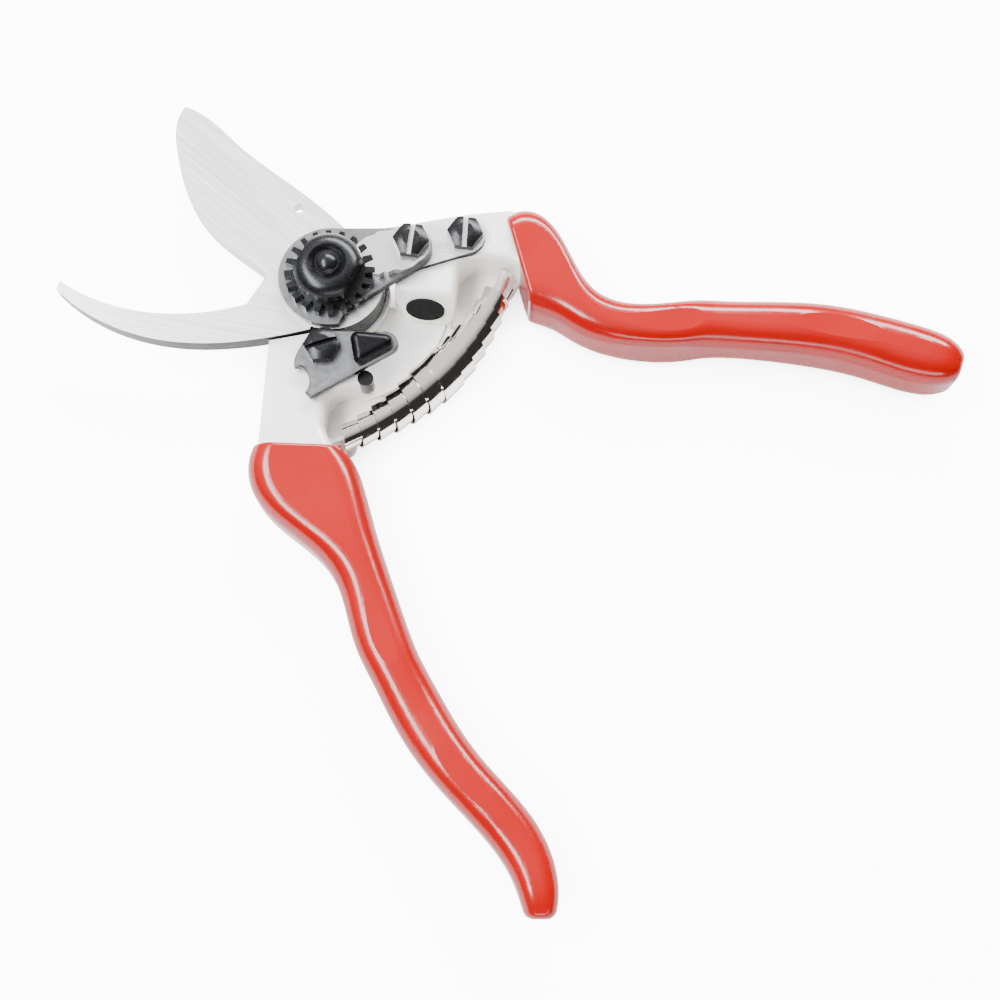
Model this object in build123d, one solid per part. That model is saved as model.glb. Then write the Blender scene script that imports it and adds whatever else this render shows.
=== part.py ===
"""Bypass pruning shears with a screwed-on hook blade, a toothed locking nut and a volute spring.

The frame is the fixed side: the handle that carries the hook blade. The pivot axis is Z, through the
origin. Z = 0 is the surface that the shears lie on, nut upwards, and +X runs along the fixed handle to
its butt. The blade side turns about Z and is drawn fully open. All sizes are in millimetres.
"""
from build123d import *
import math
import os

# ---------------------------------------------------------------- levels along the pivot axis
bolt_head_height = 3.4
web_height = 4.5
blade_thickness = 2.95
anvil_thickness = 4.3
lock_plate_thickness = 2.2
nut_flange_height = 2.4
nut_dome_height = 5.5
slide_gap = 0.05            # between faces that slide on each other
fit_gap = 0.1               # between pieces that are clamped or dropped in
swing_gap = 0.4             # between a swinging piece and what it passes

web_bottom = bolt_head_height
web_top = web_bottom + web_height
blade_bottom = web_top
blade_top = blade_bottom + blade_thickness
anvil_bottom = blade_top + slide_gap
anvil_top = anvil_bottom + anvil_thickness
plate_top = anvil_top + lock_plate_thickness
flange_top = plate_top + nut_flange_height
nut_top = flange_top + nut_dome_height

# ---------------------------------------------------------------- handles and grips
grip_thickness = 16.0
coat = 1.9                  # plastic coat over the aluminium
grip_rounding = 5.4
collar_rounding = 0.9
butt_rounding = 2.2
core_bottom = coat
core_top = grip_thickness - coat
core_middle = grip_thickness / 2
rim_rounding = 2.2

# ---------------------------------------------------------------- pivot
bolt_radius = 4.0
thread_radius = 3.4
bolt_head_radius = 9.2
bolt_end_dome = 1.2
bolt_end_radius = 2.5
bolt_end_chamfer = 0.7
bushing_wall = 1.2
head_radius = 12.2          # round head of the hook blade
web_radius = 13.0           # round head of the blade-side handle
disc_radius = 11.9          # round part of the lock plate
close_angle = 50.0

# ---------------------------------------------------------------- nut
tooth_count = 20
tooth_tip_radius = 10.2
tooth_root_radius = 8.1
tooth_tip_width = 1.15
tooth_root_width = 1.9
nut_flats = 12.5
nut_body_radius = 7.9
nut_shoulder = 3.2
nut_crown_radius = 4.3
nut_flats_angle = 71.6

# ---------------------------------------------------------------- screws
hex_flats = 7.3
hex_head_height = 2.8
hex_dome = 1.2
driver_slot = 1.1
driver_slot_depth = 1.2
screw_radius = 2.0
segment_screw_at = (17.5, 9.3)
anvil_screw_at = (29.2, 14.6)
catch_screw_at = (0.6, -17.3)
blade_screw_at = (-7.6, -17.0)
blade_screw_radius = 1.7
blade_screw_head_radius = 3.4
blade_screw_head_height = 2.0

# ---------------------------------------------------------------- catch
catch_thickness = 1.9
catch_gap = 0.05
catch_pad_height = 2.6
catch_pad_rounding = 1.9
catch_washer_height = 1.15  # at least; it also reaches down to a casting that lies lower
catch_washer_radius = 4.2
catch_reach = 19.0          # how far the catch sweeps from its screw

# ---------------------------------------------------------------- lower web, stop and lump
floor_bottom = 2.6
floor_thickness = 3.0
floor_radius = 27.0
floor_start, floor_end = -70.0, -5.0
pocket_floor_thickness = 2.0
arch_floor_thickness = 2.0
lump_bottom = floor_bottom + floor_thickness + swing_gap
stop_offset = 5.0           # with the shears closed, the stop face lies this far below the pivot axis
stop_radius = 25.4
lump_inner_radius = web_radius + 1.6
lump_outer_radius = floor_radius + 1.0
stop_pin_radius = 1.8
stop_pin_reach = 24.2
stop_pin_proud = 0.6
stop_pin_height = 5.6

# ---------------------------------------------------------------- spring
spring_start = (6.4, -36.0)
spring_end = (38.6, 6.4)
spring_sag = 5.3
spring_turns = 15
spring_end_radius = 2.6
spring_middle_radius = 5.4
spring_strip = 0.5
stud_radius = 1.5
stud_length = 6.0

# ---------------------------------------------------------------- shock absorber
lump_front = -4.4           # where the lump's front face meets its underside
bumper_middle = 21.8
bumper_length = 9.0
bumper_height = 6.0
bumper_depth = 3.0
bumper_proud = 0.5
lump_face_lean = 28.0       # the face that carries the shock absorber leans back


def turned(x, y):
    """A point given with the shears closed, taken back to where it is with them open."""
    a = math.radians(close_angle)
    return (x * math.cos(a) + y * math.sin(a), y * math.cos(a) - x * math.sin(a))


def level(shape, z):
    return Pos(0, 0, z) * shape


def slab(face, low, high):
    """A flat outline made solid between two levels."""
    return extrude(level(face, low), amount=high - low, dir=(0, 0, 1))


def closed(*edges):
    return make_face(Wire(edges))


def drum(x, y, radius, low, high):
    return Pos(x, y, (low + high) / 2) * Cylinder(radius, high - low)


def polar(radius, degrees):
    return (radius * math.cos(math.radians(degrees)), radius * math.sin(math.radians(degrees)))


def plate(corners):
    """A flat outline from corners, counter-clockwise, each with its own rounding: x, y, radius."""
    face = make_face(Polyline(*[(x, y) for x, y, _ in corners], close=True))
    for x, y, radius in corners:
        if radius:
            face = fillet(face.vertices().sort_by_distance((x, y, 0))[0], radius)
    return face


def rim(solid, z):
    """The edges of a solid that lie flat at one level."""
    return [e for e in solid.edges() if abs(e.bounding_box().min.Z - z) < 1e-3
            and abs(e.bounding_box().max.Z - z) < 1e-3]


# ================================================================ grips
# Each row is one cross-section of a grip: centre x, y, width, thickness, heading of the grip there.
fixed_grip_sections = [
    (42.0, 10.6, 23.8, grip_thickness, 21), (47.8, 11.0, 25.2, grip_thickness, 9),
    (52.9, 7.0, 19.6, grip_thickness, 3),
    (58.0, 1.6, 13.4, grip_thickness, 0), (66.6, -1.8, 10.4, grip_thickness, 3),
    (85.7, 0.3, 11.4, grip_thickness, 6),
    (107.5, 1.9, 12.4, grip_thickness, 1), (126.5, 0.4, 13.4, grip_thickness, -6),
    (137.6, -1.8, 13.4, grip_thickness, -12),
    (143.4, -2.9, 10.4, grip_thickness - 2.0, -12), (145.8, -3.4, 6.6, grip_thickness - 5.6, -12),
]
swing_grip_sections = [
    (-2.1, -39.8, 20.4, grip_thickness, -86), (0.0, -46.4, 24.4, grip_thickness, -78),
    (6.4, -55.2, 19.4, grip_thickness, -70),
    (12.8, -62.4, 13.2, grip_thickness, -67), (18.3, -72.3, 11.6, grip_thickness, -65),
    (25.4, -86.2, 11.6, grip_thickness, -61),
    (37.0, -102.0, 11.4, grip_thickness, -50), (51.6, -115.4, 10.6, grip_thickness, -44),
    (58.4, -123.4, 9.8, grip_thickness, -58),
    (61.2, -130.2, 8.2, grip_thickness - 0.6, -76), (61.9, -134.9, 5.8, grip_thickness - 4.4, -84),
]


def grip_solid(sections):
    """A full grip, lofted through its rounded oblong sections and softened at its two ends."""
    outlines = []
    for x, y, width, thickness, heading in sections:
        radius = min(grip_rounding, 0.42 * width, 0.42 * thickness)
        place = Pos(x, y, grip_thickness / 2) * Rot(0, 0, heading) * Rot(0, 90, 0)
        outlines.append(place * RectangleRounded(thickness, width, radius))
    body = loft(outlines)
    for (x, y, *_), radius in ((sections[0], collar_rounding), (sections[-1], butt_rounding)):
        middle = Vector(x, y, grip_thickness / 2)
        end = body.faces().sort_by(lambda f: (f.center() - middle).length)[0]
        body = fillet(end.edges(), radius)
    return body & Pos(60, -60, 0) * Box(300, 300, grip_thickness, align=(Align.CENTER, Align.CENTER, Align.MIN))


# ================================================================ fixed side: handle
# The aluminium under the coat, from where it leaves the collar round the butt and back.
fixed_core = [(38.6, 22.4), (42.6, 21.6), (46.0, 19.4), (50.4, 13.6), (56.8, 4.6), (66.5, 0.4), (85.5, 3.4),
              (108.0, 5.6), (127.0, 4.8), (137.6, 2.8), (142.2, -1.6), (136.8, -5.8), (125.0, -3.6),
              (106.8, -1.6), (90.0, -2.4), (74.0, -4.2), (60.6, -3.0), (53.6, -0.4), (45.4, 0.6)]


# Near the pivot the fixed handle ends on an arc round the heads of the blades.
def fixed_handle_face():
    return closed(
        Spline(polar(lump_inner_radius, 56), (13.5, 15.2), (21.0, 18.0), (30.0, 20.6), fixed_core[0]),
        Spline(*fixed_core),
        Line(fixed_core[-1], (45.4, -6.0)),
        Line((45.4, -6.0), (14.0, -6.0)),
        Line((14.0, -6.0), polar(lump_inner_radius, -6)),
        ThreePointArc(polar(lump_inner_radius, -6), polar(lump_inner_radius, 25), polar(lump_inner_radius, 56)),
    )


def fixed_pocket_face():
    """What is cast away round the lump: the arch for the spring, and all in front."""
    return plate([
        (47.0, -4.0, 0), (43.2, 9.8, 5.0), (28.6, 10.6, 5.5), (28.4, lump_front, 2.2), (18.4, lump_front, 2.0),
        (14.0, -1.0, 0), (14.0, -12.0, 0), (47.0, -12.0, 0)])


# A floor closes the arch under the spring's upper end.
arch_floor_face = plate([
    (28.0, 12.0, 0), (28.0, -3.4, 0), (33.0, -4.4, 2.0), (37.6, 0.4, 3.0), (41.6, 6.4, 2.0), (43.6, 12.0, 0)])


def make_fixed_handle():
    body = slab(fixed_handle_face(), core_bottom, core_top)
    body -= slab(fixed_pocket_face(), core_bottom - 1, core_top + 1)
    # the front face of the lump leans back, so that the shock absorber looks up
    body -= Pos(22.0, lump_front, lump_bottom) * Rot(-lump_face_lean, 0, 0) * Box(
        15.4, 14, 30, align=(Align.CENTER, Align.MAX, Align.MIN))
    soft = [e for e in rim(body, core_top) if 14.5 < e.center().X < 44.2 and lump_front < e.center().Y < 10.5]
    body = fillet(soft, rim_rounding)
    body += slab(arch_floor_face, core_bottom, core_bottom + arch_floor_thickness)
    body -= drum(0, 0, lump_outer_radius, -1, lump_bottom)
    body -= slab(anvil_outline(fit_gap), anvil_bottom, core_top + 1)
    # a casting that stands above the hook blade is milled down for the lock plate to lie on the blade
    if core_top > anvil_top:
        body -= slab(lock_plate_face(), anvil_top, core_top + 1)
    body -= bumper_body(0)
    return body


# ================================================================ hook blade
hook_back = [(-61.9, -9.5), (-54.2, -14.4), (-46.6, -17.3), (-33.5, -19.1), (-20.3, -17.7), (-3.2, -12.6)]
hook_edge = [(-61.6, -7.3), (-52.0, -11.1), (-42.5, -12.6), (-30.0, -11.7), (-18.4, -8.2)]


def anvil_outline(grow=0.0):
    """Hook, round head and tail of the hook blade in plan, grown all round by grow."""
    hook = closed(
        Spline(*hook_back),
        Line(hook_back[-1], (0, 0)),
        Line((0, 0), (-12.0, 2.0)),
        Line((-12.0, 2.0), (-14.6, 0.9)),
        Line((-14.6, 0.9), (-14.7, -0.3)),
        Spline((-14.7, -0.3), (-16.4, -3.9), hook_edge[-1]),
        Spline(*reversed(hook_edge)),
        Line(hook_edge[0], hook_back[0]),
    )
    end_radius = 4.6
    tail = make_face(Polyline((2.0, 12.0), (27.6, 18.9), (31.2, 10.5), (12.0, 1.8), (0, 0), close=True))
    shape = hook + Circle(head_radius) + tail + Pos(*anvil_screw_at) * Circle(end_radius)
    return offset(shape, grow) if grow else shape


def make_anvil_blade():
    body = slab(anvil_outline(), anvil_bottom, anvil_top)
    body -= drum(0, 0, bolt_radius + fit_gap, 0, 30)
    for x, y in (segment_screw_at, anvil_screw_at):
        body -= drum(x, y, screw_radius + fit_gap, 0, 30)
    return body


# ================================================================ shock absorber in the lump
def bumper_body(proud):
    """An oval rubber plug, square to the leaning face of the lump."""
    section = Ellipse(bumper_length / 2, bumper_height / 2)
    plug = Pos(0, 0, proud) * extrude(section, amount=-(bumper_depth + proud))
    height = (lump_bottom + core_top) / 2 - 0.3
    place = Pos(bumper_middle, lump_front + (height - lump_bottom) * math.tan(math.radians(lump_face_lean)), height)
    return place * Rot(90 - lump_face_lean, 0, 0) * plug


# ================================================================ blade side: handle
swing_core = [(-10.9, -39.5), (-10.4, -43.0), (-9.2, -47.0), (-2.8, -53.4), (7.2, -60.4), (14.8, -72.6),
              (21.9, -87.7), (33.9, -103.0), (49.8, -116.8), (57.8, -125.2), (60.6, -129.4), (62.2, -127.6),
              (59.2, -120.6), (52.0, -112.9), (39.4, -101.4), (27.4, -84.7), (19.3, -67.6), (12.4, -52.2),
              (8.0, -43.4), (7.4, -39.8)]


def swing_handle_face():
    stop_corner = turned(stop_radius, -stop_offset)
    stop_root = turned(web_radius - 1, -stop_offset)
    return closed(
        Line((-12.3, -13.0), swing_core[0]),
        Spline(*swing_core),
        Line(swing_core[-1], (13.0, -34.0)),
        Line((13.0, -34.0), stop_corner),
        Line(stop_corner, stop_root),
        Line(stop_root, (-4.0, -10.5)),
        Line((-4.0, -10.5), (-12.3, -13.0)),
    )


def swing_pocket_face():
    """What is cast away for the spring, between the stop block and the collar."""
    return plate([(16.0, -21.9, 0), (2.6, -26.4, 5.0), (2.7, -34.6, 4.0), (7.4, -41.6, 0), (16.0, -41.0, 0)])


def floor_face():
    """The thin sector that closes the gap under the lump."""
    a, b = floor_start, floor_end
    return closed(
        Line((0, 0), polar(floor_radius, a)),
        ThreePointArc(polar(floor_radius, a), polar(floor_radius, (a + b) / 2), polar(floor_radius, b)),
        Line(polar(floor_radius, b), (0, 0)),
    )


# A thinner floor goes on under the spring's lower end.
pocket_floor_face = plate([
    (0.0, -26.0, 0), (2.0, -39.0, 0), (9.6, -38.0, 2.0), (10.2, -29.6, 2.0), (14.6, -23.2, 0), (9.0, -22.0, 0)])

# With the shears open this shoulder of the handle meets the back of the hook blade.
hook_room = make_face(Polyline(
    (-30, -21.0), (-20.3, -18.2), (-12.0, -15.9), (-3.0, -13.1), (-3.0, 0), (-30, 0), close=True))


def make_swing_handle():
    body = slab(swing_handle_face(), core_bottom, core_top)
    body -= slab(swing_pocket_face(), core_bottom - 1, core_top + 1)
    soft = [e for e in rim(body, core_top) if e.center().X > 1 and -41.5 < e.center().Y < -23]
    body = fillet(soft, rim_rounding)
    body += slab(floor_face(), floor_bottom, floor_bottom + floor_thickness)
    body += slab(pocket_floor_face, floor_bottom, floor_bottom + pocket_floor_thickness)
    body -= drum(0, 0, web_radius + fit_gap, web_top, 40)
    body -= drum(0, 0, web_radius, -1, web_bottom)
    body += drum(0, 0, web_radius, web_bottom, web_top)
    body -= slab(hook_room, blade_top, core_top + 1)
    body -= slab(offset(blade_face(), fit_gap), blade_bottom, anvil_bottom)
    body -= drum(0, 0, bolt_radius + bushing_wall, 0, 30)
    body -= stop_pin_body()
    body -= drum(*catch_screw_at, screw_radius, core_bottom + 2, 30)
    body -= drum(*blade_screw_at, blade_screw_radius, 0, core_top - 1.0)
    body -= drum(*blade_screw_at, blade_screw_head_radius + fit_gap, 0, core_bottom + blade_screw_head_height)
    # a casting that stands above the washer's foot is milled down for the catch to sweep over
    if core_top - washer_foot() > slide_gap:
        body -= drum(*catch_screw_at, catch_reach, washer_foot(), core_top + 1)
    return body


# ================================================================ cutting blade
blade_edge = [(-41.9, 42.6), (-43.0, 38.7), (-41.3, 29.1), (-35.9, 17.1), (-29.0, 9.5), (-20.9, 4.2), (-12.2, -1.6)]
blade_spine = [(-41.9, 42.6), (-40.6, 42.3), (-26.9, 33.4), (-14.2, 25.4), (-6.6, 20.6), (4.0, 12.1)]
blade_hole_at = (-10.8, 19.1)
blade_hole_radius = 1.1
blade_bevel = 4.5
edge_land = 0.35


def blade_face():
    leaf = closed(Spline(*blade_edge), Line(blade_edge[-1], (0, 0)), Line((0, 0), blade_spine[-1]),
                  Spline(*reversed(blade_spine)))
    tang = make_face(Polyline((-9.0, -8.0), (-0.6, -11.0), (-3.8, -20.4), (-7.0, -21.6), (-11.0, -19.4), close=True))
    return leaf + Circle(head_radius) + tang


def make_cutting_blade():
    body = slab(blade_face(), blade_bottom, blade_top)
    # the cutting edge is ground on the face turned away from the hook
    sharp = level(Spline(*blade_edge), blade_bottom)
    low = [e for e in rim(body, blade_bottom) if sharp.distance_to(Vertex(*(e @ 0.5))) < 0.02]
    if low:
        face = [f for f in body.faces() if abs(f.center().Z - blade_bottom) < 1e-3][0]
        try:
            ground = chamfer(low, blade_bevel, blade_thickness - edge_land, reference=face)
            body = ground if ground.is_valid else body
        except Exception:
            pass
    body -= drum(0, 0, bolt_radius + slide_gap, 0, 30)
    body -= drum(*blade_hole_at, blade_hole_radius, 0, 30)
    body -= drum(*blade_screw_at, blade_screw_radius + fit_gap, 0, 30)
    return body


# ================================================================ lock plate, segment and nut
notch_corner = (4.4, -8.0)
arm_slope = 40.3
arm_end_radius = 4.7
notch_mouth = (2.7, -13.5)


def lock_plate_face():
    x, y = segment_screw_at
    hull = make_face(Polyline((0, disc_radius), (x - 0.8, y + arm_end_radius - 0.1), (x, y), (0, 0), close=True))
    arm = make_face(Polyline((0, 0), (x, y), (x + 3.1, y - 3.5), notch_corner, close=True))
    shape = Circle(disc_radius) + hull + arm + Pos(x, y) * Circle(arm_end_radius)
    reach = 60
    far = (notch_corner[0] + reach * math.cos(math.radians(arm_slope)),
           notch_corner[1] + reach * math.sin(math.radians(arm_slope)))
    notch = make_face(Polyline(notch_corner, far, (reach, -reach), notch_mouth, close=True))
    return shape - notch


def make_lock_plate():
    body = slab(lock_plate_face(), anvil_top, plate_top)
    body -= drum(0, 0, bolt_radius + fit_gap, 0, 30)
    body -= drum(*segment_screw_at, screw_radius + fit_gap, 0, 30)
    return body


def gear_face(grow=0.0):
    """The toothed rim of the nut in plan."""
    shape = Circle(tooth_root_radius + grow)
    tooth = make_face(Polyline(
        (tooth_root_radius - 1, tooth_root_width / 2 + grow),
        (tooth_tip_radius + grow, tooth_tip_width / 2 + grow),
        (tooth_tip_radius + grow, -tooth_tip_width / 2 - grow),
        (tooth_root_radius - 1, -tooth_root_width / 2 - grow), close=True))
    for i in range(tooth_count):
        shape += Rot(0, 0, (i + 0.5) * 360 / tooth_count) * tooth
    return shape


def make_nut():
    flange = slab(gear_face(), plate_top, flange_top)
    profile = make_face(Wire([
        Line((0, flange_top), (nut_body_radius, flange_top)),
        Line((nut_body_radius, flange_top), (nut_body_radius, flange_top + nut_shoulder)),
        ThreePointArc((nut_body_radius, flange_top + nut_shoulder),
                      ((nut_body_radius + nut_crown_radius) / 2 + 0.5, nut_top - 0.75), (nut_crown_radius, nut_top)),
        Line((nut_crown_radius, nut_top), (thread_radius, nut_top - 0.8)),
        Line((thread_radius, nut_top - 0.8), (0, nut_top - 0.8)),
        Line((0, nut_top - 0.8), (0, flange_top)),
    ]))
    dome = revolve(Plane.XZ * profile, Axis.Z)
    for side in (-1, 1):
        flat = Box(10, 40, 20, align=(Align.MIN if side > 0 else Align.MAX, Align.CENTER, Align.MIN))
        dome -= Rot(0, 0, nut_flats_angle - 90) * Pos(side * nut_flats / 2, 0, flange_top) * flat
    return flange + dome - drum(0, 0, thread_radius, 0, 40)


def make_segment():
    x, y = segment_screw_at
    blob = make_face(Polyline(
        (5.2, 7.4), (7.0, 9.4), (8.8, 10.2), (9.6, 11.2), (12.0, 11.7), (15.4, y + 4.0), (x, y), (x + 3.4, y - 2.6),
        (18.4, 4.2), (16.0, 2.6), (14.4, 2.2), (13.2, 1.4), (12.2, 1.5), (11.2, 0.6), (7.6, 0.9), close=True))
    shape = blob + Pos(x, y) * Circle(4.3) - gear_face(0.12)
    shape = max(shape.faces(), key=lambda f: f.area)
    body = slab(Sketch() + shape, plate_top, flange_top - 0.2)
    return body - drum(x, y, screw_radius + fit_gap, 0, 30)


# ================================================================ screws, bolt, bushing
def hex_screw(at, seat, bottom, slot_angle, turn=0.0):
    """A domed hexagon head with a driver slot, on a plain shank."""
    head = extrude(RegularPolygon(hex_flats / 2, 6, major_radius=False), amount=hex_head_height)
    ball_radius = (hex_flats ** 2 / 3 + hex_dome ** 2) / (2 * hex_dome)
    head &= Pos(0, 0, hex_head_height + 0.25 - ball_radius) * Sphere(ball_radius)
    head = Rot(0, 0, turn) * head
    slot = Pos(0, 0, hex_head_height - driver_slot_depth) * Box(
        20, driver_slot, 5, align=(Align.CENTER, Align.CENTER, Align.MIN))
    head -= Rot(0, 0, slot_angle) * slot
    return Pos(at[0], at[1], seat) * head + drum(*at, screw_radius, bottom, seat)


def make_bolt():
    head = drum(0, 0, bolt_head_radius, 0, bolt_head_height)
    for side in (-1, 1):
        head -= Pos(side * (bolt_head_radius + 4), 0, 0) * Box(10, 30, 10)
    head = chamfer(rim(head, 0), 0.6)
    shank = drum(0, 0, bolt_radius, bolt_head_height, plate_top)
    thread = drum(0, 0, thread_radius, plate_top, nut_top - 0.2)
    thread = chamfer(rim(thread, nut_top - 0.2), bolt_end_chamfer)
    ball_radius = (bolt_end_radius ** 2 + bolt_end_dome ** 2) / (2 * bolt_end_dome)
    end = Pos(0, 0, nut_top - 0.2 + bolt_end_dome - ball_radius) * Sphere(ball_radius)
    end &= drum(0, 0, bolt_end_radius, nut_top - 0.2, nut_top + 5)
    return head + shank + thread + end


def make_blade_screw():
    head = drum(*blade_screw_at, blade_screw_head_radius, core_bottom, core_bottom + blade_screw_head_height)
    slot = Pos(*blade_screw_at, core_bottom) * Box(20, driver_slot, 2 * driver_slot_depth)
    return head - slot + drum(*blade_screw_at, blade_screw_radius, core_bottom + blade_screw_head_height, core_top - 1.0)


def stop_pin_body():
    x, y = turned(stop_pin_reach, stop_pin_proud - stop_offset - stop_pin_radius)
    return drum(x, y, stop_pin_radius, washer_foot() - stop_pin_height, washer_foot())


# ================================================================ catch
catch_points_left = [(2.6, -12.9), (-2.0, -13.4), (-4.1, -17.0), (-5.2, -20.4), (-5.0, -22.6)]
catch_notch = [(-5.0, -22.6), (-3.2, -22.6), (-1.7, -24.1), (-1.2, -26.6), (-1.8, -28.3)]
catch_end = [(16.6, -16.4), (17.4, -14.2), (16.3, -12.6), (13.4, -12.1)]
catch_pad = [(6.0, -13.1, 1.7), (8.6, -21.7, 1.5), (16.3, -16.0, 1.5), (16.3, -13.0, 1.8)]


def catch_level():
    return anvil_top + catch_gap


def washer_foot():
    return min(core_top, catch_level() - catch_washer_height)


def make_catch():
    tip = (-0.6, -29.3)
    outline = closed(
        Spline(*catch_points_left), Spline(*catch_notch), Line(catch_notch[-1], tip), Line(tip, catch_end[0]),
        Spline(*catch_end), Line(catch_end[-1], catch_points_left[0]))
    low = catch_level()
    body = slab(outline, low, low + catch_thickness)
    body = chamfer(rim(body, low + catch_thickness), 0.35)
    pad_top = low + catch_thickness + catch_pad_height
    pad = slab(plate(catch_pad), low + catch_thickness - 0.5, pad_top)
    pad = fillet(rim(pad, pad_top), catch_pad_rounding)
    return body + pad - drum(*catch_screw_at, screw_radius + slide_gap, 0, 30)


def make_catch_washer():
    x, y = catch_screw_at
    ring = drum(x, y, catch_washer_radius, washer_foot(), catch_level())
    return ring - drum(x, y, screw_radius + fit_gap, 0, 30)


# ================================================================ volute spring and its studs
def spring_point(share):
    """A point and a heading on the bowed axis of the spring, share 0 to 1."""
    (x0, y0), (x1, y1) = spring_start, spring_end
    chord = math.hypot(x1 - x0, y1 - y0)
    radius = (chord ** 2 / 4 + spring_sag ** 2) / (2 * spring_sag)
    half = math.asin(chord / 2 / radius)
    along = math.degrees(math.atan2(y1 - y0, x1 - x0))
    turn = (2 * share - 1) * math.degrees(half)
    middle = ((x0 + x1) / 2, (y0 + y1) / 2)
    out = math.radians(along - 90)
    centre = (middle[0] - (radius - spring_sag) * math.cos(out), middle[1] - (radius - spring_sag) * math.sin(out))
    at = math.radians(along - 90 + turn)
    return (centre[0] + radius * math.cos(at), centre[1] + radius * math.sin(at)), along + turn


def spring_radius(share):
    return spring_end_radius + (spring_middle_radius - spring_end_radius) * (1 - abs(2 * share - 1))


def along_spring(share, shape):
    """Stands a shape, made along +Z, on the spring's axis."""
    (x, y), heading = spring_point(share)
    return Pos(x, y, core_middle) * Rot(0, 0, heading) * Rot(0, 90, 0) * shape


def make_spring():
    (x0, y0), (x1, y1) = spring_start, spring_end
    pitch = math.hypot(x1 - x0, y1 - y0) * 1.025 / spring_turns
    body = None
    for i in range(spring_turns):
        share = (i + 0.5) / spring_turns
        outer = spring_radius(share)
        length = pitch * 1.25 if 0 < i < spring_turns - 1 else pitch
        ring = Cylinder(outer, length) - Cylinder(outer - 2 * spring_strip, length)
        ring = along_spring(share, ring)
        body = ring if body is None else body + ring
    return body


def make_stud(share):
    return along_spring(share, Pos(0, 0, 0) * Cylinder(stud_radius, stud_length))


def spring_room(share):
    """The bore in a handle that takes the end of the spring."""
    return along_spring(share, Pos(0, 0, (-0.5 + share) * -9) * Cylinder(spring_end_radius + swing_gap, 9.4))


# ================================================================ assembly
def main():
    os.makedirs("parts", exist_ok=True)
    fixed_handle = make_fixed_handle()
    swing_handle = make_swing_handle()
    studs = {"lower": make_stud(0.0), "upper": make_stud(1.0)}
    fixed_handle -= spring_room(1.0)
    swing_handle -= spring_room(0.0)
    fixed_handle -= studs["upper"]
    swing_handle -= studs["lower"]
    segment_seat = flange_top - 0.2
    catch_seat = catch_level() + catch_thickness
    screws = {
        "segment_screw": hex_screw(segment_screw_at, segment_seat, 7.5, 88),
        "anvil_screw": hex_screw(anvil_screw_at, anvil_top, 7.5, 93),
        "catch_screw": hex_screw(catch_screw_at, catch_seat, core_bottom + 2, 25, 8),
    }
    for name in ("segment_screw", "anvil_screw"):
        fixed_handle -= screws[name]
    parts = {
        "fixed_handle": fixed_handle,
        "fixed_grip": grip_solid(fixed_grip_sections) - fixed_handle,
        "hook_blade": make_anvil_blade(),
        "lock_plate": make_lock_plate(),
        "toothed_segment": make_segment(),
        "pivot_nut": make_nut(),
        "pivot_bolt": make_bolt(),
        "shock_absorber": bumper_body(bumper_proud),
        "upper_spring_stud": studs["upper"],
        "volute_spring": make_spring(),
        "swing_handle": swing_handle,
        "swing_grip": grip_solid(swing_grip_sections) - swing_handle,
        "cutting_blade": make_cutting_blade(),
        "blade_screw": make_blade_screw(),
        "pivot_bushing": drum(0, 0, bolt_radius + bushing_wall, web_bottom, web_top)
        - drum(0, 0, bolt_radius + slide_gap, 0, 30),
        "stop_pin": stop_pin_body(),
        "lower_spring_stud": studs["lower"],
        "thumb_catch": make_catch(),
        "catch_washer": make_catch_washer(),
        **screws,
    }
    for name, shape in parts.items():
        export_step(shape, os.path.join("parts", name + ".step"))


main()
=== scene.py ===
import bpy
import math
from mathutils import Matrix, Vector


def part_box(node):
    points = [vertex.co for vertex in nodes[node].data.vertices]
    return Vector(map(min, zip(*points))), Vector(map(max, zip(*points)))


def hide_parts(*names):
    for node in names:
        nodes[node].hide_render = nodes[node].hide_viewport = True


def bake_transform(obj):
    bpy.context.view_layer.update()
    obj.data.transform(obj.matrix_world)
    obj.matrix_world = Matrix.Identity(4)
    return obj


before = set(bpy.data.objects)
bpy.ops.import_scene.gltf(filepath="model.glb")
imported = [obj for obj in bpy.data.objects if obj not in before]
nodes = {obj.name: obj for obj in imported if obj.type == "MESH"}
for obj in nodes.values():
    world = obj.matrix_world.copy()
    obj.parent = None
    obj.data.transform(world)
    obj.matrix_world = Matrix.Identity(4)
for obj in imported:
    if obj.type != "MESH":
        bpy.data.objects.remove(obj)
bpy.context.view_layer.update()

scene = bpy.context.scene


# ---------------------------------------------------------------- camera
# It stands over the open shears, a little to the butt side of the pivot, and looks down at them.
# From straight down it is tilted away, rolled a little, and turned to the fixed handle.
camera_place = (0.0491, -0.1322, 0.318)
camera_tilt = math.radians(15.6)
camera_roll = math.radians(2.9)
camera_turn = math.radians(3.4)
nearest_seen = 0.01

lens = bpy.data.cameras.new("camera")
lens.lens = 51.5
lens.sensor_width = 36
lens.clip_start = nearest_seen
camera = bpy.data.objects.new("camera", lens)
camera.matrix_world = (
    Matrix.Translation(camera_place)
    @ Matrix.Rotation(camera_turn, 4, "Z")
    @ Matrix.Rotation(camera_tilt, 4, "X")
    @ Matrix.Rotation(camera_roll, 4, "Z")
)
scene.collection.objects.link(camera)
scene.camera = camera


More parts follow.
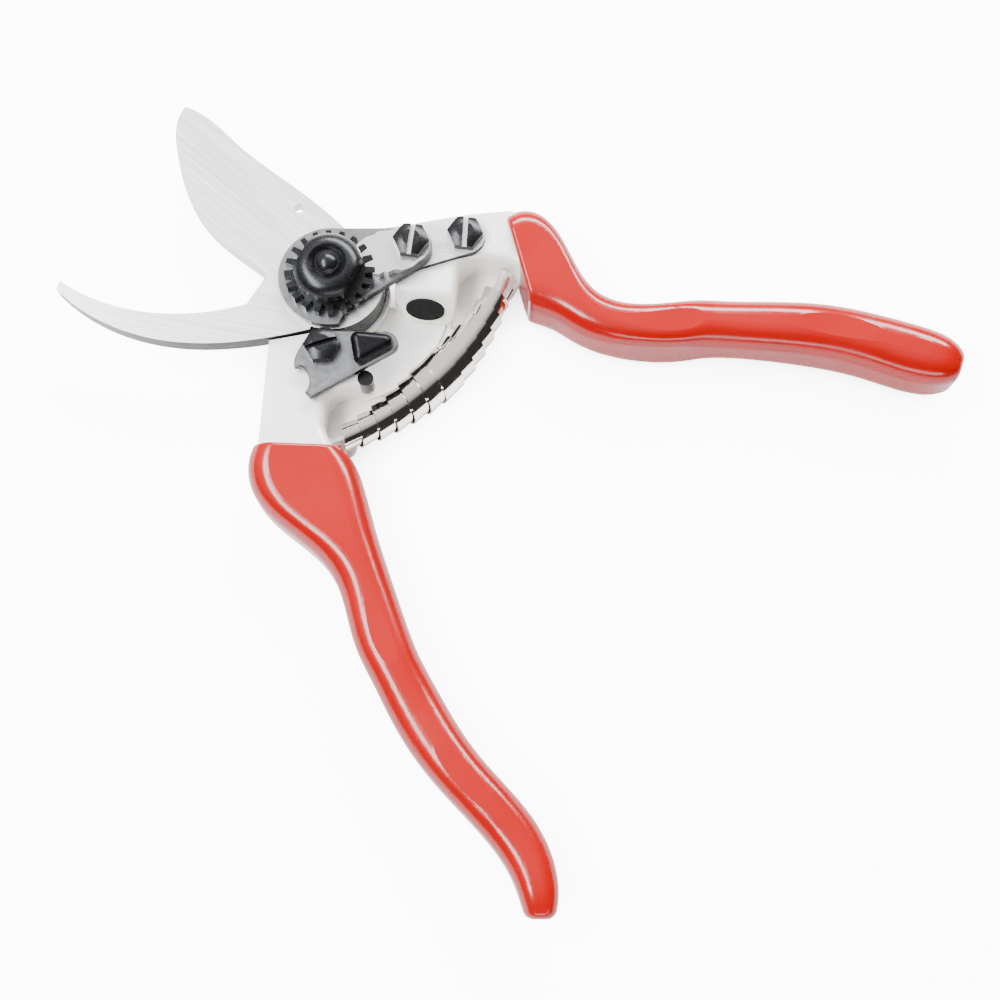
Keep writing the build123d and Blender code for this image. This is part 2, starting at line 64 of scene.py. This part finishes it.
# ---------------------------------------------------------------- table and light
# A white, lit table that glows where it is open to the sky and is clear from below. Its glow is
# dimmed in the gaps between and under the shears, which is painted shade. It stands in a tent that
# is bright behind the shears and overhead and dim in front, with a strip lamp for each handle, which
# draws a streak along it, and a weak low lamp at the butts.
table_size = 6.0
table_drop = 0.0002          # the shears' lowest faces lie just above the table
table_white = (0.9, 0.9, 0.9)
gap_reach = 0.02             # how far the table looks for something that shuts out the sky
gap_rays = 4
sky_shut, sky_open = 0.05, 0.45
# painted shade: the glow is dimmed in gaps and full in the open
painted_shade_in_gaps, glow_in_the_open = 0.1, 9.0
glow_on_the_shears = 0.15
tent_bright_side = (-0.36, 0.45, 0.82)
tent_dim, tent_dim_to = (0.03, 0.03, 0.03), 0.42
tent_bright, tent_bright_from = (1.0, 1.0, 0.99), 0.90
tent_strength = 1.25
backdrop_strength = 8.0

bpy.ops.object.select_all(action="DESELECT")
bpy.ops.mesh.primitive_plane_add(size=table_size, location=(0, 0, -table_drop))
table = bpy.context.object
table.name = "table"
white = bpy.data.materials.new("white_table")
white.use_nodes = True
tree = white.node_tree
paint = tree.nodes["Principled BSDF"]
paint.inputs["Base Color"].default_value = (*table_white, 1)
paint.inputs["Roughness"].default_value = 0.8
paint.inputs["Specular IOR Level"].default_value = 0.1
paint.inputs["Emission Color"].default_value = (1, 1, 1, 1)
seen = tree.nodes.new("ShaderNodeLightPath")
# painted shade: the table's glow is dimmed where the shears shut out the sky
open_sky = tree.nodes.new("ShaderNodeAmbientOcclusion")
open_sky.inputs["Distance"].default_value = gap_reach
open_sky.samples = gap_rays
lit = tree.nodes.new("ShaderNodeMapRange")
lit.interpolation_type = "SMOOTHSTEP"
lit.inputs["From Min"].default_value = sky_shut
lit.inputs["From Max"].default_value = sky_open
lit.inputs["To Min"].default_value = painted_shade_in_gaps
lit.inputs["To Max"].default_value = glow_in_the_open
glow = tree.nodes.new("ShaderNodeMix")
glow.inputs["A"].default_value = glow_on_the_shears
tree.links.new(open_sky.outputs["AO"], lit.inputs["Value"])
tree.links.new(seen.outputs["Is Camera Ray"], glow.inputs["Factor"])
tree.links.new(lit.outputs["Result"], glow.inputs["B"])
tree.links.new(glow.outputs["Result"], paint.inputs["Emission Strength"])

below = tree.nodes.new("ShaderNodeNewGeometry")
clear = tree.nodes.new("ShaderNodeBsdfTransparent")
one_way = tree.nodes.new("ShaderNodeMixShader")
tree.links.new(below.outputs["Backfacing"], one_way.inputs[0])
tree.links.new(paint.outputs["BSDF"], one_way.inputs[1])
tree.links.new(clear.outputs["BSDF"], one_way.inputs[2])
tree.links.new(one_way.outputs["Shader"], tree.nodes["Material Output"].inputs["Surface"])
table.data.materials.append(white)

tent = bpy.data.worlds.new("tent")
tent.use_nodes = True
scene.world = tent
tree = tent.node_tree
heading = tree.nodes.new("ShaderNodeTexCoord")
toward = tree.nodes.new("ShaderNodeVectorMath")
toward.operation = "DOT_PRODUCT"
toward.inputs[1].default_value = tent_bright_side
ramp = tree.nodes.new("ShaderNodeValToRGB")
ramp.color_ramp.elements[0].position = tent_dim_to
ramp.color_ramp.elements[0].color = (*tent_dim, 1)
ramp.color_ramp.elements[1].position = tent_bright_from
ramp.color_ramp.elements[1].color = (*tent_bright, 1)
tent_light = tree.nodes["Background"]
tent_light.inputs["Strength"].default_value = tent_strength
backdrop = tree.nodes.new("ShaderNodeBackground")
backdrop.inputs["Strength"].default_value = backdrop_strength
looked_at = tree.nodes.new("ShaderNodeLightPath")
tent_wall = tree.nodes.new("ShaderNodeMixShader")
tree.links.new(heading.outputs["Generated"], toward.inputs[0])
tree.links.new(toward.outputs["Value"], ramp.inputs[0])
tree.links.new(ramp.outputs["Color"], tent_light.inputs["Color"])
tree.links.new(looked_at.outputs["Is Camera Ray"], tent_wall.inputs[0])
tree.links.new(tent_light.outputs["Background"], tent_wall.inputs[1])
tree.links.new(backdrop.outputs["Background"], tent_wall.inputs[2])
tree.links.new(tent_wall.outputs["Shader"], tree.nodes["World Output"].inputs["Surface"])


def soft_lamp(name, at, target, width, length, watts):
    lamp = bpy.data.lights.new(name, "AREA")
    lamp.shape = "RECTANGLE"
    lamp.size, lamp.size_y = width, length
    lamp.energy = watts
    holder = bpy.data.objects.new(name, lamp)
    holder.location = at
    holder.rotation_euler = (Vector(target) - Vector(at)).to_track_quat("-Z", "Y").to_euler()
    scene.collection.objects.link(holder)


soft_lamp("left_strip", at=(-0.34, -0.14, 0.65), target=(0.03, -0.08, 0),
          width=0.70, length=0.20, watts=14.5)
soft_lamp("back_strip", at=(0.21, 0.59, 0.45), target=(0.10, 0, 0),
          width=0.80, length=0.20, watts=19.0)
soft_lamp("low_lamp", at=(0.20, -0.60, 0.22), target=(0.05, -0.05, 0),
          width=0.60, length=0.12, watts=2.0)


# ---------------------------------------------------------------- cast aluminium handles
# Two pressure castings in a light alloy, shot-blasted to a satin face. The blade side's web runs
# under the fixed one's lump, and both go down inside their red coats.
casting_colour = (0.90, 0.89, 0.87)
casting_dull = (0.86, 0.84, 0.82)
casting_pale = (0.95, 0.94, 0.92)
grain_depth = 0.0001
grain_detail = 4
grain_low, grain_high = 0.3, 0.7


def group_socket(group, name, kind, way, value=None):
    socket = group.interface.new_socket(name, in_out=way, socket_type=kind)
    if value is not None:
        socket.default_value = value


# A fine pattern over the surface, stretched and turned where the finish has a direction.
grain = bpy.data.node_groups.new("grain", "ShaderNodeTree")
group_socket(grain, "Scale", "NodeSocketFloat", "INPUT", 1000.0)
group_socket(grain, "Stretch", "NodeSocketVector", "INPUT", (1.0, 1.0, 1.0))
group_socket(grain, "Turn", "NodeSocketVector", "INPUT", (0.0, 0.0, 0.0))
group_socket(grain, "Relief", "NodeSocketFloat", "INPUT", 0.1)
group_socket(grain, "Smoothest", "NodeSocketFloat", "INPUT", 0.3)
group_socket(grain, "Roughest", "NodeSocketFloat", "INPUT", 0.4)
group_socket(grain, "Pattern", "NodeSocketFloat", "OUTPUT")
group_socket(grain, "Roughness", "NodeSocketFloat", "OUTPUT")
group_socket(grain, "Normal", "NodeSocketVector", "OUTPUT")
given = grain.nodes.new("NodeGroupInput")
gives = grain.nodes.new("NodeGroupOutput")
coord = grain.nodes.new("ShaderNodeTexCoord")
mapping = grain.nodes.new("ShaderNodeMapping")
mapping.vector_type = "TEXTURE"
noise = grain.nodes.new("ShaderNodeTexNoise")
noise.inputs["Detail"].default_value = grain_detail
spread = grain.nodes.new("ShaderNodeMapRange")
spread.inputs["From Min"].default_value = grain_low
spread.inputs["From Max"].default_value = grain_high
bump = grain.nodes.new("ShaderNodeBump")
bump.inputs["Distance"].default_value = grain_depth
grain.links.new(coord.outputs["Object"], mapping.inputs["Vector"])
grain.links.new(given.outputs["Turn"], mapping.inputs["Rotation"])
grain.links.new(given.outputs["Stretch"], mapping.inputs["Scale"])
grain.links.new(mapping.outputs["Vector"], noise.inputs["Vector"])
grain.links.new(given.outputs["Scale"], noise.inputs["Scale"])
grain.links.new(noise.outputs["Fac"], spread.inputs["Value"])
grain.links.new(given.outputs["Smoothest"], spread.inputs["To Min"])
grain.links.new(given.outputs["Roughest"], spread.inputs["To Max"])
grain.links.new(given.outputs["Relief"], bump.inputs["Strength"])
grain.links.new(noise.outputs["Fac"], bump.inputs["Height"])
grain.links.new(noise.outputs["Fac"], gives.inputs["Pattern"])
grain.links.new(spread.outputs["Result"], gives.inputs["Roughness"])
grain.links.new(bump.outputs["Normal"], gives.inputs["Normal"])


def new_material(name, colour, metallic, smoothest, roughest, scale, relief,
                 stretch=(1, 1, 1), turn=0.0):
    """A finish with its grain; returns the material, its tree, its shader and its grain's pattern."""
    made = bpy.data.materials.new(name)
    made.use_nodes = True
    tree = made.node_tree
    shader = tree.nodes["Principled BSDF"]
    shader.inputs["Base Color"].default_value = (*colour, 1)
    shader.inputs["Metallic"].default_value = metallic
    surface = tree.nodes.new("ShaderNodeGroup")
    surface.node_tree = grain
    surface.inputs["Scale"].default_value = scale
    surface.inputs["Stretch"].default_value = stretch
    surface.inputs["Turn"].default_value = (0, 0, turn)
    surface.inputs["Relief"].default_value = relief
    surface.inputs["Smoothest"].default_value = smoothest
    surface.inputs["Roughest"].default_value = roughest
    tree.links.new(surface.outputs["Roughness"], shader.inputs["Roughness"])
    tree.links.new(surface.outputs["Normal"], shader.inputs["Normal"])
    return made, tree, shader, surface.outputs["Pattern"]


def two_tone(tree, mask, first, second, socket):
    """Feeds a colour socket with the second colour where the mask is 1, and the first elsewhere.
    Returns the socket of the first colour, for a colour that changes too."""
    tone = tree.nodes.new("ShaderNodeMix")
    tone.data_type = "RGBA"
    tone.inputs["A"].default_value = (*first, 1)
    tone.inputs["B"].default_value = (*second, 1)
    tree.links.new(mask, tone.inputs["Factor"])
    tree.links.new(tone.outputs["Result"], socket)
    return tone.inputs["A"]


def dress(name, material):
    for slot in nodes[name].material_slots:
        slot.material = material


casting, tree, shader, pattern = new_material(
    "satin_casting", casting_colour, metallic=0.2, smoothest=0.34, roughest=0.46,
    scale=1800, relief=0.14)
two_tone(tree, pattern, casting_dull, casting_pale, shader.inputs["Base Color"])
dress("fixed_handle", casting)
dress("swing_handle", casting)


# ---------------------------------------------------------------- red coats
# Soft vinyl, dipped while hot over the shank of each handle. It is glossy and round-edged, and its
# skin is a little uneven.
coat_red = (0.31, 0.0, 0.0)
coat_deep = (0.29, 0.0, 0.0)
coat_bright = (0.34, 0.0, 0.0)

coat, tree, shader, pattern = new_material(
    "red_vinyl", coat_red, metallic=0.0, smoothest=0.17, roughest=0.24, scale=70, relief=0.9)
two_tone(tree, pattern, coat_deep, coat_bright, shader.inputs["Base Color"])
shader.inputs["Specular IOR Level"].default_value = 0.38
shader.inputs["Coat Weight"].default_value = 0.15
shader.inputs["Coat Roughness"].default_value = 0.08
dress("fixed_grip", coat)
dress("swing_grip", coat)


# ---------------------------------------------------------------- blades
# Both are ground steel, with fine lines along the grind. The walls of the hook blade, and those of
# the cutting blade's round head, are painted near black as painted shade.
ground_pale = (0.93, 0.92, 0.90)
ground_dark = (0.70, 0.69, 0.67)
# painted shade on the blades' walls
wall_painted_shade = (0.010, 0.010, 0.012)
wall_slope = 0.5             # a face that looks up less than this is a wall
grind_line_length = 60       # how many times longer than wide
blade_grind = math.radians(-34)
hook_grind = math.radians(-4)
blade_head_centre, blade_head_reach = (0, 0, 0.009), 0.0135
hook_centre, hook_reach = (0, 0, 0.013), 0.070


def height_of(tree):
    """The height of each point of a piece."""
    place = tree.nodes.new("ShaderNodeSeparateXYZ")
    coord = tree.nodes.new("ShaderNodeTexCoord")
    tree.links.new(coord.outputs["Object"], place.inputs[0])
    return place.outputs["Z"]


def facing_up(tree):
    """How far each face of a piece looks up: 1 for a flat top, 0 for a wall."""
    facing = tree.nodes.new("ShaderNodeSeparateXYZ")
    coord = tree.nodes.new("ShaderNodeTexCoord")
    tree.links.new(coord.outputs["Normal"], facing.inputs[0])
    return facing.outputs["Z"]


def compare(tree, value, way, limit):
    """A mask that is 1 where a value is GREATER_THAN or LESS_THAN a limit."""
    test = tree.nodes.new("ShaderNodeMath")
    test.operation = way
    test.inputs[1].default_value = limit
    tree.links.new(value, test.inputs[0])
    return test.outputs["Value"]


def both(tree, first, second):
    """A mask that is 1 where two masks are."""
    product = tree.nodes.new("ShaderNodeMath")
    product.operation = "MULTIPLY"
    tree.links.new(first, product.inputs[0])
    tree.links.new(second, product.inputs[1])
    return product.outputs["Value"]


def ground_steel(name, turn, centre, black_reach):
    """Ground steel whose walls are painted black within a reach of a centre, as painted shade."""
    steel, tree, shader, pattern = new_material(
        name, ground_pale, metallic=0.55, smoothest=0.26, roughest=0.38,
        scale=2000, relief=0.22, stretch=(grind_line_length, 1, 1), turn=turn)
    reach = tree.nodes.new("ShaderNodeVectorMath")
    reach.operation = "DISTANCE"
    reach.inputs[1].default_value = centre
    coord = tree.nodes.new("ShaderNodeTexCoord")
    tree.links.new(coord.outputs["Object"], reach.inputs[0])
    wall = compare(tree, facing_up(tree), "LESS_THAN", wall_slope)
    near = compare(tree, reach.outputs["Value"], "LESS_THAN", black_reach)
    # painted shade: walls within the reach are painted near black
    ground = two_tone(tree, both(tree, wall, near), ground_pale, wall_painted_shade,
                      shader.inputs["Base Color"])
    two_tone(tree, pattern, ground_dark, ground_pale, ground)
    return steel


dress("cutting_blade",
      ground_steel("ground_blade_steel", blade_grind, blade_head_centre, blade_head_reach))
dress("hook_blade",
      ground_steel("ground_hook_steel", hook_grind, hook_centre, hook_reach))


# ---------------------------------------------------------------- nut, bolt, screws and stop pin
# Turned steel under a black oxide, with a faint wear in it. The two screws of the hook blade have
# been driven, so the floor of their slot is bare.
oxide_black = (0.014, 0.0145, 0.016)
oxide_worn = (0.028, 0.029, 0.032)
bare_steel = (0.80, 0.79, 0.77)
slot_floor_below_top = 0.0010
slot_floor_slope = 0.98      # a face that looks up more than this is flat


def oxide_steel(name):
    return new_material(name, oxide_black, metallic=0.8, smoothest=0.24, roughest=0.34,
                        scale=1600, relief=0.03)


oxide, tree, shader, pattern = oxide_steel("black_oxide")
two_tone(tree, pattern, oxide_black, oxide_worn, shader.inputs["Base Color"])
for name in ("pivot_nut", "pivot_bolt", "catch_screw", "blade_screw", "stop_pin"):
    dress(name, oxide)

for name in ("segment_screw", "anvil_screw"):
    driven, tree, shader, pattern = oxide_steel(name + "_oxide")
    slot_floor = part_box(name)[1][2] - slot_floor_below_top
    low = compare(tree, height_of(tree), "LESS_THAN", slot_floor)
    flat = compare(tree, facing_up(tree), "GREATER_THAN", slot_floor_slope)
    head = two_tone(tree, both(tree, low, flat), oxide_black, bare_steel,
                    shader.inputs["Base Color"])
    two_tone(tree, pattern, oxide_black, oxide_worn, head)
    dress(name, driven)


# ---------------------------------------------------------------- lock plate and thumb catch
# Pressed steel plates, polished and then blued. Their tops are painted grey as painted sheen,
# and their cut edges painted near black as painted shade. The catch's thumb pad is a black block
# on the same plate.
# painted sheen: the grey of the plates' tops
plate_sheen_grey = (0.20, 0.205, 0.215)
# painted shade: the near black of the plates' walls
plate_wall_painted_shade = (0.03, 0.03, 0.033)
plate_edge_slope = 0.6       # a face that looks up less than this is a cut edge
pad_black = (0.012, 0.012, 0.014)
pad_height = 0.0025

plate, tree, shader, _ = new_material(
    "plate_oxide", plate_sheen_grey, metallic=0.9, smoothest=0.28, roughest=0.40, scale=900, relief=0.06)
# painted shade: walls painted darker than the tops
two_tone(tree, compare(tree, facing_up(tree), "LESS_THAN", plate_edge_slope),
         plate_sheen_grey, plate_wall_painted_shade, shader.inputs["Base Color"])
dress("lock_plate", plate)

catch, tree, shader, _ = new_material(
    "catch_oxide", plate_sheen_grey, metallic=0.9, smoothest=0.26, roughest=0.38, scale=900, relief=0.06)
pad_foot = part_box("thumb_catch")[1][2] - pad_height
under_pad = two_tone(tree, compare(tree, height_of(tree), "GREATER_THAN", pad_foot),
                     plate_sheen_grey, pad_black, shader.inputs["Base Color"])
# painted shade: walls painted darker than the tops
two_tone(tree, compare(tree, facing_up(tree), "LESS_THAN", plate_edge_slope),
         plate_sheen_grey, plate_wall_painted_shade, under_pad)
dress("thumb_catch", catch)


# ---------------------------------------------------------------- toothed segment, studs and washer
# The segment that locks the nut is stamped steel with a bright plating. The two studs that stand in
# the spring's ends and the washer under the catch have the same.
plating = (0.88, 0.87, 0.85)

bright = new_material("bright_plate", plating, metallic=0.8, smoothest=0.14, roughest=0.22,
                      scale=600, relief=0.05)[0]
for name in ("toothed_segment", "catch_washer", "upper_spring_stud", "lower_spring_stud"):
    dress(name, bright)


# ---------------------------------------------------------------- pivot bushing
# A turned bronze sleeve, pressed into the blade side, in which the bolt runs. It is hidden while
# the shears are together.
bronze_colour = (0.55, 0.38, 0.20)

bronze = new_material("bushing_bronze", bronze_colour, metallic=1.0, smoothest=0.28, roughest=0.40,
                      scale=900, relief=0.05)[0]
dress("pivot_bushing", bronze)


# ---------------------------------------------------------------- shock absorber
# A plug of black rubber, pushed into the fixed handle's lump. It stops the blade side softly at
# the end of each cut.
rubber_black = (0.006, 0.006, 0.006)

rubber, _, shader, _ = new_material(
    "black_rubber", rubber_black, metallic=0.0, smoothest=0.55, roughest=0.70, scale=1500, relief=0.2)
shader.inputs["Specular IOR Level"].default_value = 0.15
dress("shock_absorber", rubber)


# ---------------------------------------------------------------- volute spring
# A strip of bright spring steel, wound so that each turn slides inside the next, fattest in the
# middle. It is bowed between the two handles, and telescopes as they close.
spring_turns = 12
spring_strip_width = 0.0054
spring_strip_wall = 0.00034
spring_end_radius = 0.0027
spring_middle_radius = 0.0054
spring_low = Vector((0.0064, -0.0360, 0.008))
spring_high = Vector((0.0386, 0.0064, 0.008))
spring_sag = 0.0053
spring_flare = 0.00022       # each turn widens by this toward the middle of the spring
flare_turnover = 8           # how fast the flare changes over at the middle
steps_per_turn = 32
spring_smooth_angle = math.radians(40)
nickel_colour = (0.90, 0.85, 0.78)

chord = spring_high - spring_low
along = chord.normalized()
bow_radius = (chord.length ** 2 / 4 + spring_sag ** 2) / (2 * spring_sag)
half_turn = math.asin(chord.length / 2 / bow_radius)
spring_length = 2 * half_turn * bow_radius - spring_strip_width
spring_pitch = spring_length / spring_turns

bpy.ops.object.select_all(action="DESELECT")
bpy.ops.mesh.primitive_plane_add(size=1, location=(0, 0, 0))
spring = bpy.context.object
spring.name = "wound_spring"
for v in spring.data.vertices:
    v.co = Vector((spring_middle_radius + v.co.x * spring_strip_wall, 0, v.co.y * spring_strip_width))
wind = spring.modifiers.new("wind", "SCREW")
wind.axis = "Z"
wind.angle = 2 * math.pi
wind.screw_offset = spring_pitch
wind.iterations = spring_turns
wind.steps = wind.render_steps = steps_per_turn
wind.use_merge_vertices = False
bpy.ops.object.modifier_apply(modifier="wind")

# each turn keeps one radius across its width, so its edge steps off the turn beside it
up = Vector((0, 0, 1))
out = along.cross(up)
bow_centre = (spring_low + spring_high) / 2 - out * (bow_radius - spring_sag)
bend_per_length = 2 * half_turn / (spring_length + spring_strip_width)
half_width = spring_strip_width / 2
for v in spring.data.vertices:
    across = math.hypot(v.co.x, v.co.y)
    turn = math.atan2(v.co.y, v.co.x)
    halves = (half_width, -half_width)
    turns_to = [(v.co.z - half) / spring_pitch - turn / (2 * math.pi) for half in halves]
    off = [abs(t - round(t)) for t in turns_to]
    middle = v.co.z - halves[off.index(min(off))]
    share = min(max(middle / spring_length, 0), 1)
    radius = spring_end_radius + (spring_middle_radius - spring_end_radius) * (1 - abs(2 * share - 1))
    side = min(max((share - 0.5) * flare_turnover, -1), 1)
    flare = spring_flare * side * (v.co.z - middle) / half_width
    grow = radius + flare + (across - spring_middle_radius)
    bend = (v.co.z - spring_length / 2) * bend_per_length
    axis_out = out * math.cos(bend) + along * math.sin(bend)
    v.co = bow_centre + axis_out * (bow_radius + grow * math.cos(turn)) + up * grow * math.sin(turn)
bpy.ops.object.mode_set(mode="EDIT")
bpy.ops.mesh.select_all(action="SELECT")
bpy.ops.mesh.normals_make_consistent(inside=False)
bpy.ops.object.mode_set(mode="OBJECT")
bpy.ops.object.shade_smooth_by_angle(angle=spring_smooth_angle)

nickel = new_material("bright_nickel", nickel_colour, metallic=1.0, smoothest=0.07, roughest=0.12,
                      scale=400, relief=0.05)[0]
spring.data.materials.append(nickel)
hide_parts("volute_spring")
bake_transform(spring)
